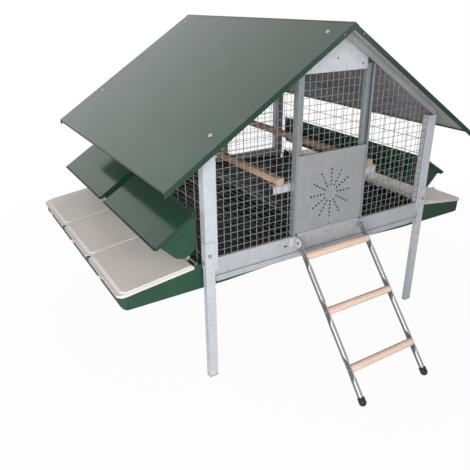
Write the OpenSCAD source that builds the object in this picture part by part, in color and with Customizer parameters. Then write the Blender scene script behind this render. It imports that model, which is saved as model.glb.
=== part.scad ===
// Raised hen coop with roll-out egg trays, outside feed hoppers, a lift-up door and a ladder.
// Millimetres, +Z up, the door faces -Y. The origin is on the ground, under the middle of the bounding box.

/* [Frame] */
// Width of the wire cage over its corner posts
frame_w = 1046; // [900:2:1200]
// Depth of the wire cage over its corner posts
frame_d = 1060; // [940:2:1200]
// Thickness of the folded galvanised sheet
sheet_t = 1.5; // [1:0.1:2]
// Width of a corner post's front or back face
post_wide = 45; // [40:1:60]
// Flange of a corner post along the side of the cage
post_narrow = 32; // [30:1:38]
// Flange of a corner post that turns in beside the net
post_return = 26; // [18:1:30]
// Distance from the roof sheet down to the top of a corner post
post_drop = 20; // [8:1:40]
// Height of the top edge of the front and back rails
rail_top_z = 481.5; // [470:0.5:500]
// Height of the front and back rails
rail_h = 61.5; // [55:0.5:66]
// Width of the ledge folded in along the foot of each rail
rail_ledge = 25; // [18:1:28]
// Width of the flange folded in along the top of each rail
rail_top_flange = 12; // [8:1:14]
// Height of the band that hangs under each rail, at the middle
band_h = 9; // [6:0.5:14]
// Height of that band at its ends
band_end_h = 20; // [12:0.5:24]
// Distance of the band behind the rail's face
band_in = 4; // [2:0.5:8]
// Distance from the rail's top edge down to the foot of a corner post
post_foot = 41.5; // [34:0.5:48]
// Distance of the slot in the front rail from the middle
rail_slot_x = 197; // [190:0.5:210]
// Height of the beam under each eave
eave_beam_h = 66; // [50:1:80]
// Flange folded in along the foot of each eave beam
eave_flange = 14; // [8:1:15]

/* [Legs] */
// Thickness of the leg channel
leg_t = 2; // [1.5:0.1:3]
// Width of a leg's front or back face
leg_wide = 34; // [30:0.5:38]
// Flange of a leg along the side of the cage
leg_narrow = 23; // [21:0.5:27]
// Flange of a leg that turns in under the rail
leg_return = 17; // [12:0.5:20]
// Height of the upper end of a leg over the rail's top edge
leg_lap = 63.5; // [44:0.5:110]
// Diameter of the open holes in a leg
leg_hole_d = 7; // [5:0.1:9]
// Height of the ground peg hole
peg_hole_z = 16; // [10:0.5:40]
// Height of the stay hole
stay_hole_z = 338; // [250:1:400]
// Distance of the leg bolts and holes in from the cage corner
bolt_in = 13; // [11:0.5:15]
// Diameter of the frame bolts
bolt_d = 6; // [5:0.5:7]
// Height of the bolts over the rail's top edge
bolt_up = 14.5; // [12:0.5:18]

/* [Roof] */
// Height of the ridge
ridge_h = 1200; // [1150:1:1260]
// Height of the roof at its eave edges
eave_h = 771; // [745:1:790]
// Overhang of the roof at each eave
eave_over = 155; // [140:1:190]
// Overhang of the roof at the front and the back
roof_over = 58; // [40:1:90]
// Thickness of the roof sheet
roof_t = 1.5; // [1:0.1:2]
// Fold along the front and back edge of the roof
roof_lip = 18; // [14:0.5:32]
// Fold along each eave
eave_lip = 7; // [5:0.5:30]
// Lap of one sheet over the other at the ridge
ridge_lap = 20; // [12:0.5:30]
// Height of the rafter's upright flange
rafter_h = 25; // [18:0.5:32]
// Width of the rafter's flange under the roof sheet
rafter_flange = 25; // [20:0.5:32]
// Distance from the ridge down to the lower edge of the gable plates
gable_h = 155; // [145:1:180]
// Distance of the upper roof screws from the ridge
screw_from_ridge = 46; // [40:0.5:60]
// Distance of the lower roof screws in from the corner posts
screw_from_corner = 40; // [30:0.5:60]

/* [Door] */
// Width of the sliding door panel
door_w = 326; // [300:1:350]
// Height of the sliding door panel
door_h = 288; // [260:1:290]
// Depth of the folded edges of the door panel
door_pan = 8; // [6:0.5:10]
// Sliding clearance on each side of the panel
slide_gap = 0.5; // [0.3:0.1:1]
// Height of the threshold that the door stands on, over the rail's top edge
sill_up = 8.5; // [4:0.5:14]
// Width of the flat face of a door guide
guide_face = 30; // [24:0.5:36]
// Depth of a door guide behind its face
guide_depth = 15; // [10:0.5:20]
// Lip of the guide that holds the door panel
guide_lip = 7; // [4:0.5:9]
// Rays of the vent pattern
vent_rays = 12; // [6:1:16]
// Holes along one ray
vent_holes = 5; // [3:1:6]
// Radius of the innermost vent hole
vent_r0 = 32; // [28:0.5:40]
// Distance between vent holes along a ray
vent_step = 14.5; // [11:0.5:16]
// Diameter of a vent hole
vent_d = 8; // [4:0.1:9]
// Distance of the vent pattern's middle below the middle of the door
vent_drop = 15; // [0:0.5:16]

/* [Ladder] */
// Slope of the ladder when its feet are on the ground
ladder_angle = 49.5; // [46:0.5:60]
// Distance from the rail's top edge down to the ladder's pivot
pivot_drop = 19.5; // [16.5:0.5:26]
// Distance of the pivot in front of the cage
pivot_out = 20; // [18:0.5:26]
// Distance between the middles of the two ladder rails
ladder_w = 304; // [303:1:312]
// Diameter of the ladder tube
tube_d = 20; // [16:0.5:22]
// Thickness of the tube where it is flattened
flat_t = 4.5; // [3:0.1:5]
// Width of the tube where it is flattened
flat_w = 28; // [24:0.5:30]
// Length of a flattened stretch
flat_l = 44; // [36:1:60]
// Length over which the tube goes from round to flat
taper_l = 26; // [16:1:34]
// Diameter of the wooden rungs
rung_d = 28; // [22:0.5:30]
// Number of rungs
rungs = 3; // [3:1:3]
// Distance of the lowest rung from the foot
rung_first = 134; // [115:1:140]
// Distance between rungs
rung_pitch = 210; // [200:1:212]
// Diameter of the rubber feet
foot_d = 27; // [25:0.5:34]
// Length of the rubber feet
foot_l = 44; // [34:1:56]

/* [Trays] */
// Reach of the tray out from the cage
tray_out = 295; // [270:1:320]
// Distance of the tray's ends in from the front and the back of the cage
tray_gap = 32; // [31:0.5:50]
// Wall of the moulded tray
tray_wall = 2.5; // [2:0.1:4]
// Depth of the tray's outer wall
tray_depth = 55; // [48:0.5:64]
// Width of the level part of the tray's bottom
tray_level = 390; // [300:1:500]
// Slope of the tray's bottom from there up to the middle of the coop
tray_slope = 2.6; // [1.5:0.1:3.2]
// Radius along the tray's outer lower edge
tray_r = 30; // [15:0.5:34]
// Radius of the tray's upright outer corners
tray_corner = 24; // [12:0.5:30]
// Drop from the tray's inner rim to its outer rim
tray_fall = 4; // [0:0.5:9]
// Slope of the tray's rim and lids
rim_slope = 7.4; // [5:0.1:7.8]
// Distance of the hinge rod from the outside of the cage
rod_out = 22; // [20:0.5:30]
// Height of the hinge rod over the tray's rim
rod_up = 8; // [7:0.5:10]
// Diameter of the hinge rod
rod_d = 6; // [5:0.5:7]

/* [Tray lids] */
// Thickness of a lid
lid_t = 3; // [2:0.1:4]
// Depth of the lid's skirt
lid_skirt = 7; // [5:0.5:12]
// Thickness of that skirt
lid_skirt_t = 3.5; // [2:0.1:4]
// Gap between neighbouring lids
lid_gap = 2; // [1:0.1:4]
// Width of the flat outer edge of a lid, which lies on the tray's rim
lid_flat = 9; // [8:0.5:14]
// Width of the sloping shoulder between that edge and the raised middle
lid_shoulder = 12; // [6:0.5:18]
// Width of the flat edge at the ends and at the hinge of a lid
lid_side = 2; // [1.5:0.5:4]
// Height of the raised middle over the flat edge
lid_rise = 5; // [3:0.5:9]
// Length of the finger clip at the middle of a lid's outer edge
clip_l = 10; // [6:0.5:14]
// Width of that clip
clip_w = 24; // [16:0.5:40]

/* [Feeders] */
// Distance of the hopper's outer end in from the cage's front or back
feeder_end = 20; // [17:0.5:40]
// Distance of the hopper's inner end from the middle of the coop
feeder_in = 35; // [34:0.5:40]
// Distance of the hopper's back from the outside of the cage
feeder_out = 25; // [22:0.5:30]
// Radius of the hopper's round bottom
feeder_r = 47; // [42:0.5:50]
// Distance from the wire that carries the hopper down to the middle of that round bottom
feeder_hang = 65.5; // [62:0.5:70]
// Reach of the hopper's rim past its back
feeder_reach = 124; // [118:0.5:130]
// Height of the lid's hinge over the middle of the round bottom
feeder_h = 101; // [97:0.5:106]
// Slope of the closed hopper lid
feeder_slope = 31.5; // [28:0.5:33]
// Length of the hopper lid along its slope
feeder_lid_l = 164; // [158:0.5:170]
// Overhang of the lid past each end of the hopper
feeder_lid_over = 10; // [9:0.5:13]
// Fold along the lid's outer edge
feeder_lid_lip = 15; // [8:0.5:18]
// Gap between the two hopper lids on the right side, which hang closer together
feeder_lid_gap = 5; // [3:0.5:10]
// Wall of the hopper
feeder_wall = 2.5; // [1.5:0.1:3]
// Height of the trough's inner lip over the middle of the round bottom
feed_lip_up = 12; // [6:0.5:20]
// Height of the hopper's back strip
back_strip_h = 26; // [18:0.5:30]

/* [Wire] */
// Pitch of the square wire net
net_pitch = 25.4; // [24.8:0.1:32]
// Width of a wire
wire_w = 2.5; // [1.6:0.1:3]
// Thickness of the nets
net_t = 2.5; // [1.6:0.1:3]
// Spaces between the upright wires of a side net
side_cells_y = 16; // [14:1:18]
// Spaces between the level wires of a side net
side_cells_z = 6; // [6:1:6]
// Overlap of the net over the door with the top of the closed door
net_behind_door = 13; // [6:0.5:20]

/* [Floor] */
// Distance from the rail's top edge down to the ridge of the slatted floor
floor_drop = 16.5; // [10:0.5:26]
// Thickness of the floor
floor_t = 4; // [3:0.5:6]
// Width of a bar of the floor
floor_bar = 9; // [5:0.5:12]
// Distance of the floor's outer edge in from the outside of the cage
floor_in = 7; // [5:0.5:12]
// Spaces of the floor across the coop, on each side of the ridge
floor_cells_x = 20; // [16:1:21]
// Spaces of the floor along the coop
floor_cells_y = 14; // [12:1:14]

/* [Perches] */
// Distance of each perch from the middle of the coop
perch_x = 210; // [190:1:260]
// Width of a perch
perch_w = 30; // [24:0.5:40]
// Height of a perch
perch_h = 25; // [20:0.5:32]
// Chamfer along the edges of a perch
perch_chamfer = 4; // [1:0.5:8]
// Height of the perch bars
bar_z = 680; // [640:1:700]
// Height of the upright flange of a perch bar
bar_h = 30; // [22:0.5:40]
// Width of the level flange of a perch bar
bar_flange = 25; // [22:0.5:34]

/* [Hidden] */
$fn = 48;
galvanised = "#b9bec4";
green = "#2f5a45";
beige = "#c8c0b7";
dark = "#2c2825";
timber = "#dcb893";
rubber = "#2b2b2d";

// Clearances between pieces
fit = 0.3;
pin_gap = 0.1;
bolt_gap = 0.2;

// Layers of the cage, from the outside in: leg, post, then rail, rafter and net side by side
half_w = frame_w / 2;
half_d = frame_d / 2;
layer = half_d - sheet_t;
layer_x = half_w - sheet_t;
rail_bottom_z = rail_top_z - rail_h;
post_bottom_z = rail_top_z - post_foot;
leg_top = rail_top_z + leg_lap;
leg_return_z = rail_bottom_z - 1;
bolt_z = rail_top_z + bolt_up;
side_bolt_z = rail_top_z - bolt_in;
bolt_x = half_w - bolt_in;
bolt_y = half_d - bolt_in;
head_d = 2 * bolt_d;
head_h = 0.6 * bolt_d;
nut_d = 1.9 * bolt_d;
nut_h = 0.8 * bolt_d;
tab_in = 2 * bolt_in - 5;

// Door, its guides and the matching posts in the back wall
sill_top_z = rail_top_z + sill_up;
door_front = layer - slide_gap;
door_back = door_front - door_pan;
guide_front = door_back - slide_gap;
guide_back = guide_front - guide_depth;
guide_wall = door_w / 2 + 2 * slide_gap;
guide_outer = guide_wall + sheet_t;
guide_inner = guide_outer - guide_face;
door_latch_up = 10;
door_latch_d = 6.5;
back_post_face = layer - net_t;
back_post_mid = guide_outer - guide_face / 2;

// Roof
eave_x = half_w + eave_over;
roof_half_d = half_d + roof_over;
gable_z = ridge_h - gable_h;
slope = atan((ridge_h - eave_h) / eave_x);
roof_rise = roof_t / cos(slope);
function roof_top(x) = ridge_h - roof_rise - abs(x) * tan(slope);
function roof_under(x) = roof_top(x) - roof_rise;
function rafter_top(x) = roof_under(x) - sheet_t / cos(slope);
function rafter_low(x) = roof_under(x) - rafter_h / cos(slope);
post_top_z = roof_under(half_w) - post_drop;
beam_top_z = roof_under(layer_x);
beam_bottom_z = beam_top_z - eave_beam_h;
rafter_end = half_w - 2 * sheet_t - fit;
roof_screw_d = 5;
roof_screw_y = guide_front - sheet_t - roof_screw_d;
roof_screw_xs = [screw_from_ridge, half_w - screw_from_corner];

// Ladder
pivot_y = -half_d - pivot_out;
pivot_z = rail_top_z - pivot_drop;
ladder_l = pivot_z / sin(ladder_angle);
rail_x = ladder_w / 2;
tube_end = 14;
pivot_d = 6;
lug_t = 2.5;
lug_x = rail_x + flat_t / 2 + 2 * fit;
bracket_w = 27;
bracket_h = 34;
rung_screw_d = 5;
rung_screw_l = 30;
function rung_z(i) = rung_first + i * rung_pitch - ladder_l;

// Frame shift that brings the origin under the middle of the bounding box
foot_y = pivot_y - pivot_z / tan(ladder_angle) - foot_d / 2 / sin(ladder_angle);
shift_y = -(foot_y + roof_half_d) / 2;

// Trays
tray_reach = half_w + tray_out;
tray_half = half_d - tray_gap;
tray_in_x = 12;
flange_t = 2.5;
rim_in_z = rail_bottom_z + sheet_t + flange_t;
tray_rim_z = rim_in_z - tray_fall;
tray_low_z = tray_rim_z - tray_depth;
tray_step_x = half_w + leg_t + 1;
tray_bend_x = tray_reach - tray_level;
rod_x = half_w + rod_out;
rod_r = rod_d / 2;
function tray_bottom(x) = tray_low_z + (tray_bend_x - x) * tan(tray_slope);
function rim_z(x) = tray_rim_z + (tray_reach - x) * tan(rim_slope);
rod_z = rim_z(rod_x) + rod_up;
ear_r = rod_r + 4.5;

// Tray lids: u along the slope from the rod, v out of the lid
lid_v = fit - rod_up * cos(rim_slope);
lid_u0 = ear_r + 3;
lid_rim_u = (tray_reach - rod_x + (rod_up + lid_skirt) * sin(rim_slope)) / cos(rim_slope) + 2 * fit;
lid_rim_y = tray_half + 2 * fit;
lid_rim_r = tray_corner + 2 * fit;
lid_u1 = lid_rim_u + lid_skirt_t;
lid_corner = lid_rim_r + lid_skirt_t;
lid_l = (2 * (lid_rim_y + lid_skirt_t) - 2 * lid_gap) / 3;
knuckle_r = rod_r + 3;
knuckle_l = 24;

// Nets and floor
net_outer = half_w - post_wide - fit;
net_first = guide_outer + fit;
side_half = half_d - 2 * sheet_t - fit;
side_net_z = rim_in_z + 2;
side_pitch_y = (2 * side_half - wire_w) / side_cells_y;
side_pitch_z = (beam_bottom_z - side_net_z - wire_w) / side_cells_z;
floor_x0 = 1;
floor_x1 = half_w - floor_in;
floor_under_z = rail_top_z - floor_drop - floor_t;
floor_slope = atan((floor_under_z - rim_in_z) / (floor_x1 - floor_x0));
floor_half = half_d - 2 * sheet_t - 2;
ridge_arm = 22;
ridge_web_h = 25;

// Feed hoppers and their lids
hook_wire = side_cells_z / 2;
hook_z = side_net_z + hook_wire * side_pitch_z + wire_w;
feeder_z = hook_z - feeder_hang;
feeder_hinge_z = feeder_z + feeder_h;
feeder_len = half_d - feeder_in - feeder_end;
feeder_shift = 2 * (feeder_in - feeder_lid_over) - feeder_lid_gap;
feeder_x = half_w + feeder_out;
feeder_mid = feeder_x + feeder_r;
feeder_rim_x = feeder_x + feeder_reach;
hinge_x = feeder_x + 5;
hinge_r = 4;
hinge_pin_r = 2.5;
hinge_ear_r = 5.5;
feeder_lid_u0 = hinge_ear_r + 1.5;
feeder_plate_v = hinge_r - roof_t;
function lid_line(x) = feeder_hinge_z + (feeder_plate_v - fit) / cos(feeder_slope)
    - (x - hinge_x) * tan(feeder_slope);
strip_window_z = feeder_hinge_z - hinge_r - 1;

// Perches
bar_half = perch_x + perch_w;
perch_half = guide_back - sheet_t - fit;
perch_bolt_y = guide_back - bar_flange / 2;

// Places and directions

module coop() {
  translate([0, shift_y, 0]) children();
}

module left() {
  mirror([1, 0, 0]) children();
}

module back() {
  mirror([0, 1, 0]) children();
}

// A profile drawn in X and Z, drawn out along Y from y0 to y1
module along_y(y0, y1) {
  translate([0, y1, 0]) rotate([90, 0, 0]) linear_extrude(y1 - y0) children();
}

// A box from its lowest to its highest corner
module block(low, high) {
  translate(low) cube(high - low);
}

// A cylinder along X or Y, starting at its given point
module rod_along_x(x, y, z, l, r) {
  translate([x, y, z]) rotate([0, 90, 0]) cylinder(h = l, r = r);
}

module rod_along_y(x, y, z, l, r) {
  translate([x, y, z]) rotate([-90, 0, 0]) cylinder(h = l, r = r);
}

// Nets

// Openings of a net from x0 to x1, upwards from z0, under the line top_z - top_fall * x
function net_cells(x0, x1, z0, top_z, top_fall, columns, pitch_z, bar) = [
  for (i = [0 : columns - 1])
  let (pitch_x = (x1 - x0 - bar) / columns)
  let (a = x0 + bar + i * pitch_x, b = a + pitch_x - bar)
  let (top_a = top_z - top_fall * a - bar, top_b = top_z - top_fall * b - bar)
  for (j = [0 : floor((max(top_a, top_b) - z0) / pitch_z)])
  let (c = z0 + bar + j * pitch_z, d = c + pitch_z - bar)
  if (min(top_a, top_b) > c + bar)
  [[a, c], [b, c], [b, min(d, top_b)], [a, min(d, top_a)]]
];

module net(x0, x1, z0, top_z, top_fall, columns, pitch_z, bar) {
  difference() {
    polygon([[x0, z0], [x1, z0], [x1, top_z - top_fall * x1], [x0, top_z - top_fall * x0]]);
    for (cell = net_cells(x0, x1, z0, top_z, top_fall, columns, pitch_z, bar))
      polygon(cell);
  }
}

// The part of the front or back wall between a corner post and a middle post
module gable_net(x0) {
  top_z = rafter_low(0) - fit;
  columns = round((net_outer - x0) / net_pitch);
  net(x0, net_outer, rail_top_z, top_z, tan(slope), columns, net_pitch, wire_w);
}

module middle_net(reach, z0, z1) {
  columns = round(2 * reach / net_pitch);
  rows = round((z1 - z0) / net_pitch);
  net(-reach, reach, z0, z1, 0, columns, (z1 - z0 - wire_w) / rows, wire_w);
}

module side_net() {
  translate([layer_x - net_t, 0, 0])
    rotate([90, 0, 90])
      linear_extrude(net_t)
        net(-side_half, side_half, side_net_z, beam_bottom_z, 0, side_cells_y, side_pitch_z, wire_w);
}

module slatted_floor() {
  length = (floor_x1 - floor_x0) / cos(floor_slope);
  pitch_y = (2 * floor_half - floor_bar) / floor_cells_y;
  translate([floor_x0, 0, floor_under_z])
    rotate([0, floor_slope, 0])
      linear_extrude(floor_t)
        net(0, length, -floor_half, floor_half, 0, floor_cells_x, pitch_y, floor_bar);
}

module net_front_left() {
  color(galvanised) coop() left() along_y(-layer, -layer + net_t) gable_net(net_first);
}

module net_front_right() {
  color(galvanised) coop() along_y(-layer, -layer + net_t) gable_net(net_first);
}

module net_over_door() {
  color(galvanised)
    coop()
      along_y(-guide_front + sheet_t, -guide_front + sheet_t + net_t)
        middle_net(guide_inner, sill_top_z + door_h - net_behind_door, gable_z);
}

module net_back_sides() {
  color(galvanised)
    coop()
      along_y(layer - net_t, layer) {
        gable_net(back_post_mid + fit);
        left() gable_net(back_post_mid + fit);
      }
}

module net_back_middle() {
  color(galvanised)
    coop() along_y(layer - net_t, layer) middle_net(back_post_mid - fit, rail_top_z, gable_z - fit);
}

module net_left() {
  color(galvanised) coop() left() side_net();
}

module net_right() {
  color(galvanised) coop() side_net();
}

module floor_left() {
  color(dark) coop() left() slatted_floor();
}

module floor_right() {
  color(dark) coop() slatted_floor();
}

// Angle bar that carries both halves of the floor, with a web hanging under its middle
module floor_ridge() {
  z = floor_under_z;
  fall = ridge_arm * tan(floor_slope);
  web = sheet_t / 2;
  web_fall = web * tan(floor_slope);
  color(galvanised)
    coop()
      along_y(-half_d + 2 * sheet_t, half_d - 2 * sheet_t)
        polygon([
          [-ridge_arm, z - fall], [0, z], [ridge_arm, z - fall], [ridge_arm, z - fall - sheet_t],
          [web, z - web_fall - sheet_t], [web, z - ridge_web_h],
          [-web, z - ridge_web_h], [-web, z - web_fall - sheet_t], [-ridge_arm, z - fall - sheet_t]
        ]);
}

// Legs, posts and rails

// Corner angle with its corner at the origin and its flanges towards +X and +Y
module angle_bar(flange_x, flange_y, thick, z0, z1) {
  translate([0, 0, z0])
    linear_extrude(z1 - z0) {
      square([flange_x, thick]);
      square([thick, flange_y]);
    }
}

// Bores for the two bolts of the front left corner
module corner_bores() {
  bore_r = bolt_d / 2 + bolt_gap;
  depth = leg_t + 2 * sheet_t + 2;
  rod_along_y(-bolt_x, -half_d - leg_t - 1, bolt_z, depth, bore_r);
  rod_along_x(-half_w - leg_t - 1, -bolt_y, side_bolt_z, depth, bore_r);
}

// Leg of the front left corner: an angle whose inner edge turns in under the rail
module corner_leg() {
  difference() {
    translate([-half_w - leg_t, -half_d - leg_t, 0]) {
      angle_bar(leg_wide, leg_narrow, leg_t, 0, leg_top);
      block([leg_wide - leg_t, 0, 0], [leg_wide, leg_return, leg_return_z]);
    }
    corner_bores();
    for (z = [peg_hole_z, stay_hole_z])
      rod_along_y(-bolt_x, -half_d - leg_t - 1, z, leg_t + 2, leg_hole_d / 2);
  }
}

// Post of the front left corner: an angle whose inner edge turns in beside the net
module corner_post() {
  difference() {
    translate([-half_w, -half_d, 0]) {
      angle_bar(post_wide, post_narrow, sheet_t, post_bottom_z, post_top_z);
      block([post_wide - sheet_t, 0, rail_top_z + fit], [post_wide, post_return, post_top_z]);
    }
    corner_bores();
  }
}

module leg_front_left() {
  color(galvanised) coop() corner_leg();
}

module leg_front_right() {
  color(galvanised) coop() left() corner_leg();
}

module leg_back_left() {
  color(galvanised) coop() back() corner_leg();
}

module leg_back_right() {
  color(galvanised) coop() left() back() corner_leg();
}

module post_front_left() {
  color(galvanised) coop() corner_post();
}

module post_front_right() {
  color(galvanised) coop() left() corner_post();
}

module post_back_left() {
  color(galvanised) coop() back() corner_post();
}

module post_back_right() {
  color(galvanised) coop() left() back() corner_post();
}

// Web of a rail in X and Z, with an upright tab at each end and a bore in each tab
module rail_web() {
  tab_x = half_w - tab_in;
  tab_z = bolt_z + bolt_in - 1;
  difference() {
    polygon([
      [-layer_x, rail_bottom_z], [layer_x, rail_bottom_z], [layer_x, tab_z], [tab_x, tab_z],
      [tab_x, rail_top_z], [-tab_x, rail_top_z], [-tab_x, tab_z], [-layer_x, tab_z]
    ]);
    for (x = [-bolt_x, bolt_x])
      translate([x, bolt_z]) circle(d = bolt_d + 2 * bolt_gap);
  }
}

// Ledge for the trays, top flange and the tapered band under a rail
module rail_folds() {
  inner = layer_x - net_t - fit;
  band_x = half_w - leg_wide - 2;
  seam = -layer + sheet_t / 2;
  band_y = -layer + band_in;
  block([-inner, seam, rail_bottom_z], [inner, -layer + rail_ledge + sheet_t, rail_bottom_z + sheet_t]);
  block([-inner, seam, rail_top_z - sheet_t], [inner, -layer + rail_top_flange, rail_top_z]);
  along_y(band_y, band_y + sheet_t)
    polygon([
      [-band_x, rail_bottom_z + sheet_t / 2], [-band_x, rail_bottom_z - band_end_h],
      [0, rail_bottom_z - band_h], [band_x, rail_bottom_z - band_end_h], [band_x, rail_bottom_z + sheet_t / 2]
    ]);
}

module rail_front() {
  slot = [14, 6];
  slot_at = [-rail_slot_x, rail_bottom_z + rail_h / 2];
  color(galvanised)
    coop() {
      along_y(-layer, -layer + sheet_t)
        difference() {
          rail_web();
          translate(slot_at) square(slot, center = true);
        }
      rail_folds();
    }
}

module rail_back() {
  color(galvanised)
    coop()
      back() {
        along_y(-layer, -layer + sheet_t) rail_web();
        rail_folds();
      }
}

module eave_beam() {
  block([layer_x - sheet_t, -layer, beam_bottom_z], [layer_x, layer, beam_top_z]);
  block([layer_x - eave_flange, -layer, beam_bottom_z], [layer_x, layer, beam_bottom_z + sheet_t]);
}

module eave_beams() {
  color(galvanised)
    coop() {
      eave_beam();
      left() eave_beam();
    }
}

// One bolt with its head at the origin's far side and its nut past the stack of sheets
module bolt(stack) {
  translate([0, 0, -head_h]) cylinder(h = head_h, d = head_d);
  cylinder(h = stack + nut_h + 1, d = bolt_d);
  translate([0, 0, stack]) cylinder(h = nut_h, d = nut_d, $fn = 6);
}

module corner_bolts() {
  stack = leg_t + sheet_t;
  translate([-bolt_x, -half_d - leg_t, bolt_z]) rotate([-90, 0, 0]) bolt(stack + sheet_t);
  translate([-half_w - leg_t, -bolt_y, side_bolt_z]) rotate([0, 90, 0]) bolt(stack);
}

module perch_bolt() {
  translate([perch_x, perch_bolt_y, bar_z + perch_h])
    rotate([180, 0, 0]) bolt(perch_h + sheet_t);
}

module frame_bolts() {
  color(galvanised)
    coop() {
      corner_bolts();
      left() corner_bolts();
      back() corner_bolts();
      left() back() corner_bolts();
      perch_bolt();
      left() perch_bolt();
      back() perch_bolt();
      left() back() perch_bolt();
    }
}

// Roof

module rafter() {
  upright = [
    [fit, roof_under(fit)], [rafter_end, roof_under(rafter_end)],
    [rafter_end, rafter_low(rafter_end)], [fit, rafter_low(fit)]
  ];
  level = [
    [fit, roof_under(fit)], [rafter_end, roof_under(rafter_end)],
    [rafter_end, rafter_top(rafter_end)], [fit, rafter_top(fit)]
  ];
  difference() {
    union() {
      along_y(-layer, -layer + sheet_t) polygon(upright);
      along_y(-layer, -layer + rafter_flange) polygon(level);
    }
    roof_screw_bores();
  }
}

module rafters_front() {
  color(galvanised)
    coop() {
      rafter();
      left() rafter();
    }
}

module rafters_back() {
  color(galvanised)
    coop()
      back() {
        rafter();
        left() rafter();
      }
}

// Places of the screws on the right slope, with +Z out of the sheet
module at_roof_screws() {
  for (x = roof_screw_xs)
    translate([x, -roof_screw_y, roof_top(x)]) rotate([0, slope, 0]) children();
}

module roof_screw_bores() {
  at_roof_screws()
    translate([0, 0, -20]) cylinder(h = 40, d = roof_screw_d + 2 * bolt_gap);
}

module roof_screw() {
  cylinder(h = 1.5, d = 3 * roof_screw_d);
  cylinder(h = 4.5, d = 1.8 * roof_screw_d, $fn = 6);
  translate([0, 0, -8]) cylinder(h = 9, d = roof_screw_d);
}

module roof_screws() {
  color(galvanised)
    coop() {
      at_roof_screws() roof_screw();
      left() at_roof_screws() roof_screw();
      back() at_roof_screws() roof_screw();
      left() back() at_roof_screws() roof_screw();
    }
}

// Right slope of the roof with its folded edges; its upper edge follows the given points
module roof_sheet(ridge) {
  inner_x = eave_x - roof_t;
  sheet = [
    [eave_x, roof_top(eave_x)], [eave_x, roof_top(eave_x) - eave_lip],
    [inner_x, roof_top(eave_x) - eave_lip], [inner_x, roof_under(inner_x)], [0, roof_under(0)]
  ];
  lip_fall = roof_lip / cos(slope);
  lip = [
    [0, roof_top(0)], [eave_x, roof_top(eave_x)],
    [eave_x, roof_top(eave_x) - lip_fall], [0, roof_top(0) - lip_fall]
  ];
  difference() {
    union() {
      along_y(-roof_half_d, roof_half_d) polygon(concat(sheet, ridge));
      along_y(-roof_half_d, -roof_half_d + roof_t) polygon(lip);
      along_y(roof_half_d - roof_t, roof_half_d) polygon(lip);
    }
    roof_screw_bores();
    back() roof_screw_bores();
  }
}

module roof_right() {
  color(green) coop() roof_sheet([[0, roof_top(0)]]);
}

// The left sheet laps over the right one at the ridge
module roof_left() {
  lap_x = ridge_lap * cos(slope);
  own_x = 6;
  lap = [
    [0, roof_top(0)], [-lap_x, roof_top(lap_x)], [-lap_x, roof_top(lap_x) + roof_rise],
    [0, ridge_h], [own_x, roof_top(own_x)]
  ];
  color(green) coop() left() roof_sheet(lap);
}

module gable_plate(reach, top_0, top_reach) {
  hole_x = reach - 3 * leg_hole_d;
  difference() {
    polygon([[-reach, gable_z], [reach, gable_z], [reach, top_reach], [0, top_0], [-reach, top_reach]]);
    for (x = [-hole_x, 0, hole_x])
      translate([x, gable_z + leg_hole_d * (6 - 3.4 * abs(x) / hole_x)]) circle(d = leg_hole_d);
  }
}

module gable_plates() {
  back_reach = back_post_mid - fit;
  color(galvanised)
    coop() {
      along_y(-guide_front, -guide_front + sheet_t)
        gable_plate(guide_inner, rafter_top(0) - fit, rafter_top(guide_inner) - fit);
      along_y(back_post_face, back_post_face + sheet_t)
        gable_plate(back_reach, rafter_low(0) - fit, rafter_low(back_reach) - fit);
    }
}

// Door

// Folded guide: a lip and an outer wall hold the panel in front of the face
module door_guide() {
  translate([0, 0, rail_top_z])
    linear_extrude(rafter_low(guide_outer) - fit - rail_top_z) {
      translate([guide_wall, -half_d]) square([sheet_t, half_d - guide_back]);
      translate([guide_wall - guide_lip, -half_d]) square([guide_lip + sheet_t, sheet_t]);
      translate([guide_inner, -guide_front]) square([guide_face, sheet_t]);
      translate([guide_inner, -guide_front]) square([sheet_t, guide_depth]);
    }
}

module door_guide_left() {
  color(galvanised) coop() left() door_guide();
}

module door_guide_right() {
  color(galvanised) coop() door_guide();
}

// Channel behind the back net, in line with a door guide
module back_post() {
  depth = back_post_face - guide_back;
  translate([0, 0, rail_top_z])
    linear_extrude(rafter_top(guide_outer) - fit - rail_top_z) {
      translate([guide_inner, back_post_face - sheet_t]) square([guide_face, sheet_t]);
      for (x = [guide_inner, guide_wall])
        translate([x, guide_back]) square([sheet_t, depth]);
    }
}

module back_posts() {
  color(galvanised)
    coop() {
      back_post();
      left() back_post();
    }
}

// Threshold plate on the front rail, with the ledge that the closed door stands on
module sill_plate() {
  half = rail_x - flat_t;
  low_z = rail_bottom_z + rail_h / 6;
  slots = [[-16, 20], [16, 20]];
  color(galvanised)
    coop()
      difference() {
        union() {
          block([-half, -half_d, low_z], [half, -layer, sill_top_z]);
          block([-half, -half_d, sill_top_z - sheet_t], [half, -door_back, sill_top_z]);
        }
        for (slot = slots)
          block([slot[0] - 6, -half_d - 1, sill_top_z - slot[1] - 3],
            [slot[0] + 6, -layer + 1, sill_top_z - slot[1] + 3]);
      }
}

// Sheet pan with its edges folded back and a sun of vent holes
module door_panel() {
  half = door_w / 2;
  z0 = sill_top_z;
  z1 = sill_top_z + door_h;
  vent_z = (z0 + z1) / 2 - vent_drop;
  color(galvanised)
    coop()
      difference() {
        block([-half, -door_front, z0], [half, -door_back, z1]);
        block([-half + sheet_t, -door_front + sheet_t, z0 + sheet_t],
          [half - sheet_t, -door_back + 1, z1 - sheet_t]);
        for (i = [0 : vent_rays - 1], k = [0 : vent_holes - 1])
          let (r = vent_r0 + k * vent_step, angle = i * 360 / vent_rays)
            rod_along_y(r * cos(angle), -door_front - 1, vent_z + r * sin(angle), 4, vent_d / 2);
        rod_along_y(0, -door_front - 1, z0 + door_latch_up, 4, door_latch_d / 2);
      }
}

// Perches

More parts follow.
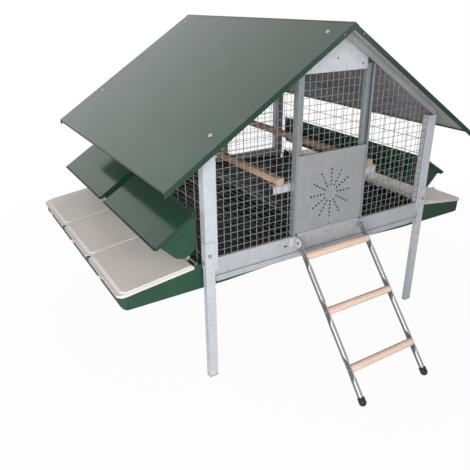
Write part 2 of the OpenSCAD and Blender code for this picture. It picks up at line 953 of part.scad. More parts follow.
module perch_bar() {
  top = bar_z;
  difference() {
    union() {
      block([-bar_half, -guide_back, top - bar_h], [bar_half, -guide_back + sheet_t, top]);
      block([-bar_half, -guide_back, top - sheet_t], [bar_half, -guide_back + bar_flange, top]);
    }
    for (x = [-perch_x, perch_x])
      translate([x, -perch_bolt_y, top - 5]) cylinder(h = 10, d = bolt_d + 2 * bolt_gap);
  }
}

module perch_bars() {
  color(galvanised)
    coop() {
      perch_bar();
      back() perch_bar();
    }
}

module perch() {
  w = perch_w / 2;
  c = perch_chamfer;
  outline = [
    [-w + c, 0], [w - c, 0], [w, c], [w, perch_h - c],
    [w - c, perch_h], [-w + c, perch_h], [-w, perch_h - c], [-w, c]
  ];
  translate([perch_x, 0, bar_z])
    difference() {
      along_y(-perch_half, perch_half) polygon(outline);
      for (y = [-perch_bolt_y, perch_bolt_y])
        translate([0, y, -1]) cylinder(h = perch_h + 2, d = bolt_d + 2 * bolt_gap);
    }
}

module perch_left() {
  color(timber) coop() left() perch();
}

module perch_right() {
  color(timber) coop() perch();
}

// Egg trays and their lids

// Outline of the tray in X and Z, drawn in by a wall and with its top raised
module tray_outline(wall, raise) {
  r = tray_r - wall;
  mid_x = tray_reach - tray_r;
  mid_z = tray_low_z + tray_r;
  steps = 10;
  bend = [
    for (i = [0 : steps])
    let (angle = -90 * (1 - i / steps))
    [mid_x + r * cos(angle), mid_z + r * sin(angle)]
  ];
  x0 = tray_in_x + wall;
  lift = wall / cos(tray_slope);
  corner_x = tray_bend_x - wall * tan(tray_slope / 2);
  inner = [
    [x0, rim_in_z + raise], [x0, tray_bottom(x0) + lift], [corner_x, tray_low_z + wall]
  ];
  outer = [
    [tray_reach - wall, rim_z(tray_reach) + raise],
    [tray_step_x, rim_z(tray_step_x) + raise], [tray_step_x, rim_in_z + raise]
  ];
  polygon(concat(inner, bend, outer));
}

// Rectangle in X and Y with its two outer corners rounded
module round_plan(x0, x1, half, r) {
  translate([x0, -half]) square([x1 - x0 - r, 2 * half]);
  translate([x0, -half + r]) square([x1 - x0, 2 * half - 2 * r]);
  for (y = [-half + r, half - r])
    translate([x1 - r, y]) circle(r = r);
}

// Tray without its hollow, or that hollow: the outline kept within the plan
module tray_body(wall, raise) {
  intersection() {
    along_y(-half_d, half_d) tray_outline(wall, raise);
    linear_extrude(rail_top_z) round_plan(0, tray_reach - wall, tray_half - wall, tray_corner - wall);
  }
}

// Moulded tray with a flange that lies on the rail's ledge and ears for the hinge rod
module tray() {
  flange_end = layer - sheet_t - 5;
  difference() {
    union() {
      tray_body(0, 0);
      for (y = [-flange_end, tray_half - 1])
        block([tray_in_x, y, rim_in_z - flange_t],
          [floor_x1, y + flange_end - tray_half + 1, rim_in_z]);
      for (y = [-tray_half, tray_half - tray_wall]) {
        rod_along_y(rod_x, y, rod_z, tray_wall, ear_r);
        block([rod_x - ear_r, y, rod_z - rod_up - 2], [rod_x + ear_r, y + tray_wall, rod_z]);
      }
    }
    tray_body(tray_wall, 20);
    rod_along_y(rod_x, -tray_half - 1, rod_z, 2 * tray_half + 2, rod_r + pin_gap);
  }
}

module tray_left() {
  color(green) coop() left() tray();
}

module tray_right() {
  color(green) coop() tray();
}

module lid_rods() {
  color(galvanised)
    coop() {
      rod_along_y(rod_x, -tray_half, rod_z, 2 * tray_half, rod_r);
      left() rod_along_y(rod_x, -tray_half, rod_z, 2 * tray_half, rod_r);
    }
}

// Raised middle of a lid with sloping shoulders, or its hollow: drawn in and lowered by a wall
module lid_middle(wall) {
  slant = lid_shoulder / 3;
  side = lid_side + wall;
  edge = lid_flat + wall;
  half = lid_l / 2;
  translate([0, 0, lid_v - wall])
    hull() {
      linear_extrude(lid_t - 0.6) round_plan(lid_u0 + side, lid_u1 - edge, half - side, lid_corner - side);
      translate([0, 0, lid_t + lid_rise - 0.1])
        linear_extrude(0.1)
          round_plan(lid_u0 + side + slant, lid_u1 - edge - lid_shoulder,
            half - side - slant, lid_corner - side - slant);
    }
}

// The part of a lid's plan that hangs outside the tray's walls
module lid_skirt_plan(place) {
  difference() {
    round_plan(lid_u0, lid_u1, lid_l / 2, lid_corner);
    translate([0, -place * (lid_l + lid_gap)]) round_plan(0, lid_rim_u, lid_rim_y, lid_rim_r);
  }
}

// Lid at its hinge: +X along the slope, +Z out of the lid, with its middle at the origin in Y
module lid_shape(place) {
  half = lid_l / 2;
  top = lid_v + lid_t;
  knuckle_y = half - 3 * knuckle_l;
  difference() {
    union() {
      translate([0, 0, lid_v]) linear_extrude(lid_t) round_plan(lid_u0, lid_u1, half, lid_corner);
      lid_middle(0);
      translate([0, 0, lid_v - lid_skirt]) linear_extrude(lid_skirt + 0.5) lid_skirt_plan(place);
      block([lid_u1 - 1, -clip_w / 2, lid_v], [lid_u1 + clip_l, clip_w / 2, top]);
      translate([lid_u1 + clip_l - clip_w / 6, 0, top - 1]) cylinder(h = clip_w / 4, d = clip_w / 3);
      for (y = [-knuckle_y, knuckle_y]) {
        rod_along_y(0, y - knuckle_l / 2, 0, knuckle_l, knuckle_r);
        block([0, y - knuckle_l / 2, lid_v + 0.2], [lid_u0 + 3, y + knuckle_l / 2, top - 0.2]);
      }
    }
    lid_middle(lid_t);
    rod_along_y(0, -half - 1, 0, lid_l + 2, rod_r + pin_gap);
  }
}

module lid_right(place) {
  translate([rod_x, place * (lid_l + lid_gap), rod_z]) rotate([0, rim_slope, 0]) lid_shape(place);
}

module lid_left_front() {
  color(beige) coop() left() lid_right(-1);
}

module lid_left_middle() {
  color(beige) coop() left() lid_right(0);
}

module lid_left_back() {
  color(beige) coop() left() lid_right(1);
}

module lid_right_front() {
  color(beige) coop() lid_right(-1);
}

module lid_right_middle() {
  color(beige) coop() lid_right(0);
}

module lid_right_back() {
  color(beige) coop() lid_right(1);
}

// Feed hoppers and their lids

// Outline of the hopper in X and Z: upright back, round bottom, flared front and sloping top
module feeder_outline(wall, raise) {
  r = feeder_r - wall;
  steps = 12;
  bend = [
    for (i = [0 : steps])
    let (angle = 180 + i * 135 / steps)
    [feeder_mid + r * cos(angle), feeder_z + r * sin(angle)]
  ];
  rim_x = feeder_rim_x - wall;
  flare_z = feeder_z + r * sin(-45) + (rim_x - feeder_mid - r * cos(-45));
  back_x = feeder_x + wall;
  top = [
    [rim_x, flare_z], [rim_x, lid_line(rim_x) + raise], [back_x + 6, lid_line(back_x + 6) + raise],
    [back_x + feeder_wall, strip_window_z + raise], [back_x, strip_window_z + raise]
  ];
  polygon(concat(bend, top));
}

// Lug that hangs the hopper on a level wire of the side net
module feeder_lug(y) {
  hook_low = hook_z - wire_w - 5;
  inside = layer_x - net_t - 2 * fit;
  outside = layer_x + 2 * fit;
  tongue = 4;
  seat = hook_z + fit;
  outline = [
    [feeder_x + 1, seat + 9], [inside - tongue, seat + 9], [inside - tongue, hook_low], [inside, hook_low],
    [inside, seat], [outside, seat], [outside, feeder_z], [feeder_x + 1, feeder_z]
  ];
  along_y(y - 1.5, y + 1.5) polygon(outline);
}

// Upright wires stand every side_pitch_y, so a lug goes through the middle of the nth space from the end
function lug_y(n) = side_half - wire_w / 2 - (n - 0.5) * side_pitch_y;

// The back right hopper, with its body moved towards the middle of the coop
module feeder(shift) {
  y0 = feeder_in - shift;
  y1 = y0 + feeder_len;
  window_low = feeder_z + feed_lip_up;
  window_high = strip_window_z - back_strip_h;
  ring_r = feeder_r - 12;
  difference() {
    union() {
      along_y(y0, y1) feeder_outline(0, 0);
      for (y = [y0, y1 - feeder_wall])
        rod_along_y(hinge_x, y, feeder_hinge_z, feeder_wall, hinge_ear_r);
      for (y = [y0 - 1.2, y1])
        difference() {
          rod_along_y(feeder_mid, y, feeder_z, 1.2, ring_r);
          rod_along_y(feeder_mid, y - 1, feeder_z, 4, ring_r - 4);
        }
      for (n = [2, 7])
        feeder_lug(lug_y(n));
    }
    along_y(y0 + feeder_wall, y1 - feeder_wall) feeder_outline(feeder_wall, 40);
    block([feeder_x - 0.5, y0 + feeder_wall, window_low],
      [feeder_mid, y1 - feeder_wall, window_high]);
    rod_along_y(hinge_x, y0 - 1, feeder_hinge_z, feeder_len + 2, hinge_pin_r + pin_gap);
  }
}

module feeder_left_front() {
  color(green) coop() left() back() feeder(0);
}

module feeder_left_back() {
  color(green) coop() left() feeder(0);
}

module feeder_right_front() {
  color(green) coop() back() feeder(feeder_shift);
}

module feeder_right_back() {
  color(green) coop() feeder(0);
}

// Lid of the back right hopper: a sheet with folded edges, rolled round its hinge pin
module feeder_lid(shift) {
  pin_y = feeder_in - shift;
  y0 = pin_y - feeder_lid_over;
  y1 = pin_y + feeder_len + feeder_lid_over;
  in0 = pin_y + feeder_wall + 0.5;
  in1 = pin_y + feeder_len - feeder_wall - 0.5;
  low = feeder_plate_v;
  high = hinge_r;
  translate([hinge_x, 0, feeder_hinge_z])
    rotate([0, feeder_slope, 0]) {
      block([feeder_lid_u0, y0, low], [feeder_lid_l, y1, high]);
      block([0, in0, low], [feeder_lid_u0 + 1, in1, high]);
      block([feeder_lid_l - roof_t, y0, high - feeder_lid_lip], [feeder_lid_l, y1, high]);
      for (y = [y0, y1 - roof_t])
        block([feeder_lid_u0, y, high - 0.8 * feeder_lid_lip], [feeder_lid_l, y + roof_t, high]);
      rod_along_y(0, in0, 0, in1 - in0, hinge_r);
      rod_along_y(0, pin_y, 0, feeder_len, hinge_pin_r);
    }
}

module feeder_lid_left_front() {
  color(green) coop() left() back() feeder_lid(0);
}

module feeder_lid_left_back() {
  color(green) coop() left() feeder_lid(0);
}

module feeder_lid_right_front() {
  color(green) coop() back() feeder_lid(feeder_shift);
}

module feeder_lid_right_back() {
  color(green) coop() feeder_lid(0);
}

// Ladder

// The ladder's own frame: origin at the pivot, +Z up along the rails
module on_ladder() {
  translate([0, pivot_y, pivot_z]) rotate([ladder_angle - 90, 0, 0]) children();
}

// Base bolted to the front rail and a lug beside the ladder's flattened end
module ladder_bracket() {
  low = pivot_z - bracket_h / 2;
  high = pivot_z + bracket_h / 2;
  difference() {
    union() {
      block([lug_x, -half_d - 0.5, low], [lug_x + bracket_w, -layer, high]);
      block([lug_x, pivot_y, low], [lug_x + lug_t, -layer, high]);
      rod_along_x(lug_x, pivot_y, pivot_z, lug_t, bracket_h / 2);
    }
    rod_along_x(lug_x - 1, pivot_y, pivot_z, lug_t + 2, pivot_d / 2 + pin_gap);
  }
}

module ladder_brackets() {
  color(galvanised)
    coop() {
      ladder_bracket();
      left() ladder_bracket();
    }
}

// Slice of the round tube or of its flattened stretch, for the tapers between them
module round_slice(z) {
  translate([0, 0, z]) cylinder(h = 0.2, d = tube_d, center = true, $fn = 32);
}

module flat_slice(z) {
  translate([0, 0, z]) cube([flat_t, flat_w, 0.2], center = true);
}

// Tube that is flattened at each rung and at its upper end
module ladder_rail() {
  flat_half = flat_l / 2;
  bottom = tube_end - ladder_l;
  on_ladder()
    translate([rail_x, 0, 0])
      difference() {
        union() {
          for (i = [0 : rungs - 1]) {
            low = i == 0 ? bottom : rung_z(i - 1) + flat_half + taper_l;
            high = rung_z(i) - flat_half - taper_l;
            flat_top = i == rungs - 1 ? 0 : rung_z(i) + flat_half;
            translate([0, 0, low]) cylinder(h = high - low, d = tube_d);
            hull() {
              round_slice(high);
              flat_slice(high + taper_l);
            }
            block([-flat_t / 2, -flat_w / 2, high + taper_l], [flat_t / 2, flat_w / 2, flat_top]);
            if (i < rungs - 1)
              hull() {
                flat_slice(flat_top);
                round_slice(flat_top + taper_l);
              }
          }
          rod_along_x(-flat_t / 2, 0, 0, flat_t, flat_w / 2);
        }
        rod_along_x(-flat_t, 0, 0, 2 * flat_t, pivot_d / 2 + pin_gap);
        for (i = [0 : rungs - 1])
          rod_along_x(-flat_t, 0, rung_z(i), 2 * flat_t, rung_screw_d / 2 + pin_gap);
      }
}

module ladder_rail_left() {
  color(galvanised) coop() left() ladder_rail();
}

module ladder_rail_right() {
  color(galvanised) coop() ladder_rail();
}

module ladder_rungs() {
  half = rail_x - flat_t / 2;
  hole = rung_screw_l + 1;
  color(timber)
    coop()
      on_ladder()
        for (i = [0 : rungs - 1])
          difference() {
            rod_along_x(-half, 0, rung_z(i), 2 * half, rung_d / 2);
            for (x = [-half - 1, half - hole])
              rod_along_x(x, 0, rung_z(i), hole + 1, rung_screw_d / 2 + pin_gap);
          }
}

// Screws into the rung ends and the pivot bolts, on the right rail
module ladder_rail_bolts() {
  face = rail_x + flat_t / 2;
  inside = rail_x - flat_t / 2;
  nut_x = lug_x + lug_t + fit;
  for (i = [0 : rungs - 1]) {
    rod_along_x(face, 0, rung_z(i), 2.5, rung_screw_d);
    rod_along_x(inside - rung_screw_l, 0, rung_z(i), rung_screw_l + flat_t + 1, rung_screw_d / 2);
  }
  rod_along_x(inside - 4, 0, 0, 4, pivot_d);
  rod_along_x(inside - 1, 0, 0, nut_x + nut_h - inside + 2, pivot_d / 2);
  translate([nut_x, 0, 0]) rotate([0, 90, 0]) cylinder(h = nut_h, d = 1.9 * pivot_d, $fn = 6);
}

module ladder_bolts() {
  color(galvanised)
    coop()
      on_ladder() {
        ladder_rail_bolts();
        left() ladder_rail_bolts();
      }
}

// Rubber cap over the lower end of a rail, worn flat where it stands on the ground
module ladder_foot() {
  below = foot_d;
  difference() {
    on_ladder()
      translate([rail_x, 0, -ladder_l])
        difference() {
          translate([0, 0, -below]) cylinder(h = foot_l + below, d = foot_d);
          translate([0, 0, tube_end]) cylinder(h = foot_l, d = tube_d + 2 * pin_gap);
        }
    translate([rail_x - foot_d, pivot_y - 2 * pivot_z, -4 * foot_d]) cube([2 * foot_d, 2 * pivot_z, 4 * foot_d]);
  }
}

module ladder_feet() {
  color(rubber)
    coop() {
      ladder_foot();
      left() ladder_foot();
    }
}

leg_front_left();
leg_front_right();
leg_back_left();
leg_back_right();
post_front_left();
post_front_right();
post_back_left();
post_back_right();
rail_front();
rail_back();
eave_beams();
rafters_front();
rafters_back();
gable_plates();
roof_left();
roof_right();
roof_screws();
frame_bolts();
door_guide_left();
door_guide_right();
back_posts();
sill_plate();
door_panel();
perch_bars();
perch_left();
perch_right();
floor_ridge();
floor_left();
floor_right();
net_front_left();
net_front_right();
net_over_door();
net_back_sides();
net_back_middle();
net_left();
net_right();
tray_left();
tray_right();
lid_rods();
lid_left_front();
lid_left_middle();
lid_left_back();
lid_right_front();
lid_right_middle();
lid_right_back();
feeder_left_front();
feeder_left_back();
feeder_right_front();
feeder_right_back();
feeder_lid_left_front();
feeder_lid_left_back();
feeder_lid_right_front();
feeder_lid_right_back();
ladder_brackets();
ladder_rail_left();
ladder_rail_right();
ladder_rungs();
ladder_bolts();
ladder_feet();
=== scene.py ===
"""Looks of a raised hen coop: camera, light, materials, round-wire nets and small fittings.

Sizes named here repeat those of the part's source, in millimetres, in the cage's own frame:
x across, y from the door to the back, z up, with the cage's middle over y = 0.
Textures, lamps and the ground use metres.
"""

import math

import bmesh
import bpy
from mathutils import Matrix, Vector


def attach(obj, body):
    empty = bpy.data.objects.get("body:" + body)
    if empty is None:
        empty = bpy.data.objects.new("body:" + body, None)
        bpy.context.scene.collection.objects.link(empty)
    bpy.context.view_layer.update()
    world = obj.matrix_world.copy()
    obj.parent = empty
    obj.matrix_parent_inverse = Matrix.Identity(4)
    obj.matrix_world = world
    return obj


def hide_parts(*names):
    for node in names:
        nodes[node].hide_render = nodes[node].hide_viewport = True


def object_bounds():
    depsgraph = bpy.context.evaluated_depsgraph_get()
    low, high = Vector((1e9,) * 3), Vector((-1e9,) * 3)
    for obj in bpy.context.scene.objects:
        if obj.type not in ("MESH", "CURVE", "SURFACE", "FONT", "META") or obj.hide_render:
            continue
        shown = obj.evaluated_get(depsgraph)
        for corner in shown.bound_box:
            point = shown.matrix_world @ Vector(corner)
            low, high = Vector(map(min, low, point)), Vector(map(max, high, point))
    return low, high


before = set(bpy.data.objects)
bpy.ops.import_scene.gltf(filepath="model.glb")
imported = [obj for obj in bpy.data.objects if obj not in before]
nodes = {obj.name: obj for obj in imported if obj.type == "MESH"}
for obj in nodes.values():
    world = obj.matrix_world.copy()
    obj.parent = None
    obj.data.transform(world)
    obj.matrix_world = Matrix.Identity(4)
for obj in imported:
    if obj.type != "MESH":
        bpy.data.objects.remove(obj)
cad_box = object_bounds()

MM = 0.001
SIDES = {"left": -1, "right": 1}
ENDS = {"front": -1, "back": 1}

# Cage
HALF_W, HALF_D = 523.0, 530.0
SHEET, FIT = 1.5, 0.3
LAYER_X, LAYER_Y = HALF_W - SHEET, HALF_D - SHEET
LEG_WIDE, POST_WIDE = 34.0, 45.0
RAIL_TOP, RAIL_BOTTOM = 481.5, 420.0

# Roof
RIDGE, EAVE_Z, EAVE_X = 1200.0, 771.0, 678.0
SLOPE = math.atan((RIDGE - EAVE_Z) / EAVE_X)
ROOF_T, ROOF_OVER = 1.5, 58.0
ROOF_HALF_D = HALF_D + ROOF_OVER
RAFTER_H, EAVE_BEAM_H = 25.0, 66.0
GABLE_Z = 1045.0

# Door, its guides and the posts in the back wall
GUIDE_OUTER, GUIDE_INNER, GUIDE_FRONT = 165.5, 135.5, 519.5
BACK_POST_MID = (GUIDE_OUTER + GUIDE_INNER) / 2
SILL_TOP, DOOR_H = 490.0, 288.0

# Nets
WIRE, NET_T, NET_PITCH = 2.5, 2.5, 25.4
NET_OUTER = HALF_W - POST_WIDE - FIT
NET_BEHIND_DOOR = 13.0
SIDE_NET_LOW = 426.0
SIDE_CELLS_Y, SIDE_CELLS_Z = 16, 6
END_WIRE_R, SIDE_WIRE_R = 0.95, 1.15
WIRE_LIFT = 0.55
SHORTEST_WIRE = 1.0

# Ladder, and half the sizes of its pressed flats
PIVOT_OUT, PIVOT_DROP = 20.0, 19.5
PIVOT_Y, PIVOT_Z = -HALF_D - PIVOT_OUT, RAIL_TOP - PIVOT_DROP
LADDER_ANGLE = math.radians(49.5)
LADDER_L = PIVOT_Z / math.sin(LADDER_ANGLE)
LADDER_HALF = 152.0
TUBE_R, TUBE_END = 10.0, 14.0
FLAT_X, FLAT_Y, FLAT_HALF = 2.25, 14.0, 22.0
TAPER = 26.0
RUNG_COUNT, RUNG_FIRST, RUNG_PITCH = 3, 134.0, 210.0
RUNGS = [RUNG_FIRST + i * RUNG_PITCH - LADDER_L for i in range(RUNG_COUNT)]

# Rubber feet of the ladder
FOOT_R, FOOT_TOP = 13.4, 35.0
COLLAR_H, COLLAR_EDGE, COLLAR_ROUND = 7.0, 1.0, 1.5
WAIST_IN, COLLAR_IN, MOUTH_IN = 0.8, 0.2, 1.4
FOOT_GAP = 0.2

# Strip and rolled edge along the foot of a rail
STRIP_END_GAP, STRIP_GAP = 2.0, 5.0
STRIP_HALF = HALF_W - LEG_WIDE - STRIP_END_GAP
STRIP_H, STRIP_CLIP = 22.0, 5.0
STRIP_IN, STRIP_T = 0.5, 4.0
ROLL_R, ROLL_UP = 2.2, 1.0

# Screws in the roof's folds, and hems of the hopper lids, coloured as painted shade
FOLD_SCREW_DOWN, FOLD_SCREW_IN = 48.0, 5.5
FOLD_HEAD_R, FOLD_HEAD_H = 2.6, 1.4
HEM_R = 4.2
SAME_PLACE = 0.1

# Facets of round shapes, the share of a tube's round end before its cap, and the angle of a sharp edge
WIRE_SIDES, TRIM_SIDES, TUBE_SIDES = 8, 12, 32
TAPER_STEPS, ROUND_STEPS = 8, 8
ROUND_SHARE = 0.99
SHARP = math.radians(40)

# How far the cage's frame is moved in the row frame, from the place of the roof's back edge
SHIFT_Y = cad_box[1][1] / MM - ROOF_HALF_D


def at(x, y, z):
    """A point of the cage's frame, in metres in the row frame."""
    return Vector((x, y + SHIFT_Y, z)) * MM


def roof_under(x):
    """Height of the lower side of the roof."""
    return RIDGE - 2 * ROOF_T / math.cos(SLOPE) - abs(x) * math.tan(SLOPE)


def rafter_low(x):
    """Height of the lower edge of the rafters."""
    return roof_under(x) - RAFTER_H / math.cos(SLOPE)


# Helpers for materials

WHITE = (1.0, 1.0, 1.0)

# Places of a mix node's sockets for colours, which share their names with its other sockets
MIX_FACTOR, MIX_FIRST, MIX_SECOND, MIX_RESULT = 0, 6, 7, 2


def material(name, roughness, metallic=0.0, specular=0.5):
    """A new material, its node tree and its shader."""
    made = bpy.data.materials.new(name)
    made.use_nodes = True
    shader = made.node_tree.nodes["Principled BSDF"]
    shader.inputs["Roughness"].default_value = roughness
    shader.inputs["Metallic"].default_value = metallic
    shader.inputs["Specular IOR Level"].default_value = specular
    return made, made.node_tree, shader


def add(tree, kind, **inputs):
    """A new node with values for its inputs."""
    node = tree.nodes.new(kind)
    for key, value in inputs.items():
        node.inputs[key].default_value = value
    return node


def coordinates(tree, scale=(1, 1, 1)):
    """Object coordinates in metres, stretched by scale."""
    source = tree.nodes.new("ShaderNodeTexCoord")
    mapping = add(tree, "ShaderNodeMapping", Scale=scale)
    tree.links.new(source.outputs["Object"], mapping.inputs["Vector"])
    return mapping.outputs["Vector"]


def noise(tree, scale, detail=3.0, stretch=(1, 1, 1), distortion=0.0):
    """Soft noise from 0 to 1."""
    node = add(tree, "ShaderNodeTexNoise", Scale=scale, Detail=detail, Distortion=distortion)
    tree.links.new(coordinates(tree, stretch), node.inputs["Vector"])
    return node.outputs["Fac"]


def cells(tree, scale):
    """A grey value that is constant over each cell of a random cell pattern."""
    node = add(tree, "ShaderNodeTexVoronoi", Scale=scale)
    tree.links.new(coordinates(tree), node.inputs["Vector"])
    grey = tree.nodes.new("ShaderNodeRGBToBW")
    tree.links.new(node.outputs["Color"], grey.inputs["Color"])
    return grey.outputs["Val"]


def ramp(tree, value, stops):
    """Colours by value; stops is a list of (position, colour)."""
    node = tree.nodes.new("ShaderNodeValToRGB")
    elements = node.color_ramp.elements
    while len(elements) < len(stops):
        elements.new(0.5)
    for element, (position, colour) in zip(elements, stops):
        element.position = position
        element.color = (*colour, 1.0)
    tree.links.new(value, node.inputs["Fac"])
    return node.outputs["Color"]


def span(tree, value, low, high, from_low=0.25, from_high=0.75):
    """value mapped from from_low..from_high to low..high, and held at both ends."""
    node = tree.nodes.new("ShaderNodeMapRange")
    limits = {"From Min": from_low, "From Max": from_high, "To Min": low, "To Max": high}
    for key, number in limits.items():
        node.inputs[key].default_value = number
    tree.links.new(value, node.inputs["Value"])
    return node.outputs["Result"]


def blend(tree, factor, first, second, mode="MIX"):
    """Two colours mixed by factor; each of the three is a number, a colour or an output."""
    node = tree.nodes.new("ShaderNodeMix")
    node.data_type = "RGBA"
    node.blend_type = mode
    for place, value in ((MIX_FACTOR, factor), (MIX_FIRST, first), (MIX_SECOND, second)):
        socket = node.inputs[place]
        if isinstance(value, (float, int)):
            socket.default_value = value
        elif isinstance(value, tuple):
            socket.default_value = (*value, 1.0)
        else:
            tree.links.new(value, socket)
    return node.outputs[MIX_RESULT]


def bump(tree, shader, height, strength, distance):
    """Small relief on a shader, with its distance in metres."""
    node = add(tree, "ShaderNodeBump", Strength=strength, Distance=distance)
    tree.links.new(height, node.inputs["Height"])
    tree.links.new(node.outputs["Normal"], shader.inputs["Normal"])


def crevice_shade(tree, reach, depth):
    """Painted shade: 1 in the open, falling to depth in corners and narrow gaps."""
    node = add(tree, "ShaderNodeAmbientOcclusion", Distance=reach)
    node.samples = 8
    return span(tree, node.outputs["AO"], depth, 1.0, from_low=0.25, from_high=0.85)


def upward(tree):
    """The upward part of a face's direction as its sheet lies at rest: 1 level, 0 upright, -1 upside down."""
    geometry = tree.nodes.new("ShaderNodeNewGeometry")
    turned = tree.nodes.new("ShaderNodeVectorTransform")
    turned.vector_type = "NORMAL"
    turned.convert_from = "WORLD"
    turned.convert_to = "OBJECT"
    parts = tree.nodes.new("ShaderNodeSeparateXYZ")
    tree.links.new(geometry.outputs["True Normal"], turned.inputs["Vector"])
    tree.links.new(turned.outputs["Vector"], parts.inputs["Vector"])
    return parts.outputs["Z"]


# Kinds of material

DUST, BACKING = (0.20, 0.22, 0.20), (0.335, 0.33, 0.335)


def galvanised(name, tint, spangle=60.0, metallic=0.45, rough=(0.36, 0.46), contrast=0.06, grain=0.10):
    """Hot-dipped sheet: crystals of slightly different grey, faint streaks, fine pits, painted shade in
    corners.
    """
    made, tree, shader = material(name, sum(rough) / 2, metallic)
    darker = tuple(channel * (1.0 - contrast) for channel in tint)
    lighter = tuple(min(1.0, channel * (1.0 + contrast)) for channel in tint)
    base = ramp(tree, cells(tree, spangle), [(0.15, darker), (0.5, tint), (0.85, lighter)])
    streaks = noise(tree, scale=5.0, detail=5.0, stretch=(1, 1, 0.3))
    dull = ramp(tree, streaks, [(0.3, (0.90, 0.91, 0.92)), (0.7, WHITE)])
    worn = blend(tree, 1.0, base, dull, "MULTIPLY")
    # Painted shade: the colour darkens in corners and narrow gaps
    shaded = blend(tree, 1.0, worn, crevice_shade(tree, reach=0.02, depth=0.45), "MULTIPLY")
    tree.links.new(shaded, shader.inputs["Base Color"])
    tree.links.new(span(tree, noise(tree, scale=22.0, detail=4.0), *rough), shader.inputs["Roughness"])
    bump(tree, shader, noise(tree, scale=420.0, detail=2.0), strength=grain, distance=0.0004)
    return made


def paint(name, dark, light, rough, specular, fold_shade_colour):
    """Glossy coated sheet: a faint cloud, dusty patches, painted shade deepening folds and lips, a grey
    underside.
    """
    made, tree, shader = material(name, sum(rough) / 2, specular=specular)
    cloud = ramp(tree, noise(tree, scale=2.4, detail=4.0), [(0.3, dark), (0.7, light)])
    patches = noise(tree, scale=9.0, detail=6.0, stretch=(1, 0.5, 1))
    top = blend(tree, span(tree, patches, 0.0, 0.10, from_low=0.52, from_high=0.8), cloud, DUST)
    up = upward(tree)
    # Painted shade: faces that do not look up, such as folds and lips, are multiplied by a darker colour
    fold_shade_mask = span(tree, up, 1.0, 0.0, from_low=0.1, from_high=0.3)
    underside = span(tree, up, 1.0, 0.0, from_low=-0.75, from_high=-0.65)
    shaded_coat = blend(tree, fold_shade_mask, top, fold_shade_colour, "MULTIPLY")
    tree.links.new(blend(tree, underside, shaded_coat, BACKING), shader.inputs["Base Color"])
    tree.links.new(span(tree, noise(tree, scale=6.0, detail=5.0), *rough), shader.inputs["Roughness"])
    bump(tree, shader, noise(tree, scale=260.0, detail=2.0), strength=0.03, distance=0.0005)
    return made


def moulding(name, dark, light, rough):
    """Moulded plastic: an even colour with flow marks and a fine matt grain."""
    made, tree, shader = material(name, sum(rough) / 2)
    flow = noise(tree, scale=7.0, detail=4.0, stretch=(1, 0.35, 1), distortion=0.6)
    tree.links.new(ramp(tree, flow, [(0.3, dark), (0.7, light)]), shader.inputs["Base Color"])
    tree.links.new(span(tree, noise(tree, scale=14.0, detail=4.0), *rough), shader.inputs["Roughness"])
    bump(tree, shader, noise(tree, scale=700.0, detail=2.0), strength=0.12, distance=0.0003)
    return made


def timber(name, along, dark, light):
    """Planed wood with its grain along one axis: long fibres, bands of growth and a few dark pores."""
    def across(times):
        return tuple(1.0 if axis == along else times for axis in "xyz")

    rough = (0.52, 0.75)
    made, tree, shader = material(name, sum(rough) / 2, specular=0.3)
    bands = noise(tree, scale=5.0, detail=3.0, stretch=across(16.0), distortion=0.8)
    fibres = noise(tree, scale=26.0, detail=6.0, stretch=across(30.0))
    colour = ramp(tree, bands, [(0.3, dark), (0.5, light), (0.72, dark)])
    pores = ramp(tree, fibres, [(0.30, (0.72, 0.66, 0.60)), (0.5, WHITE)])
    tree.links.new(blend(tree, 0.5, colour, pores, "MULTIPLY"), shader.inputs["Base Color"])
    tree.links.new(span(tree, fibres, *rough), shader.inputs["Roughness"])
    bump(tree, shader, fibres, strength=0.10, distance=0.0004)
    return made


def rubber(name, dark, light):
    """Dull rubber with worn patches and a coarse grain."""
    made, tree, shader = material(name, 0.6, specular=0.35)
    worn = noise(tree, scale=60.0, detail=5.0)
    tree.links.new(ramp(tree, worn, [(0.35, dark), (0.75, light)]), shader.inputs["Base Color"])
    bump(tree, shader, noise(tree, scale=500.0, detail=3.0), strength=0.3, distance=0.0005)
    return made


# Finishes of the nodes and pieces

SHEET_STEEL = galvanised("galvanised_sheet", (0.62, 0.64, 0.68), metallic=0.40, rough=(0.38, 0.48),
                         contrast=0.05)
RAIL_STEEL = galvanised("rail_sheet", (0.52, 0.54, 0.57))
# Painted shade: the rafters and eave beams take darker copies of the sheet steel, for the shade under the
# roof
RAFTER_SHADE_STEEL = galvanised("rafter_sheet_painted_shade", (0.44, 0.45, 0.47))
EAVE_SHADE_STEEL = galvanised("eave_sheet_painted_shade", (0.26, 0.26, 0.27))
SILL_STEEL = galvanised("sill_sheet", (0.52, 0.53, 0.55), metallic=0.50, rough=(0.34, 0.44))
# Painted shade: the door guides take a darker copy of the sheet steel, for their shade and darker reflections
GUIDE_SHADE_STEEL = galvanised("guide_sheet_painted_shade", (0.34, 0.36, 0.37), metallic=0.50, rough=(0.34, 0.44), contrast=0.05)
DOOR_STEEL = galvanised("door_sheet", (0.41, 0.42, 0.43), spangle=38.0, metallic=0.50, contrast=0.04)
WIRE_STEEL = galvanised("galvanised_wire", (0.30, 0.31, 0.31), spangle=160.0, metallic=0.40,
                        rough=(0.40, 0.50), contrast=0.05, grain=0.02)
PLATED = galvanised("zinc_plated", (0.46, 0.46, 0.45), spangle=200.0, metallic=0.70,
                    rough=(0.30, 0.40), contrast=0.04, grain=0.03)
SCREW_ZINC = galvanised("screw_zinc", (0.66, 0.63, 0.60), spangle=200.0, metallic=0.30,
                        rough=(0.35, 0.45), contrast=0.03, grain=0.03)
TUBE_STEEL = galvanised("galvanised_tube", (0.42, 0.425, 0.42), spangle=90.0, metallic=0.95,
                        rough=(0.24, 0.30), contrast=0.02, grain=0.0)
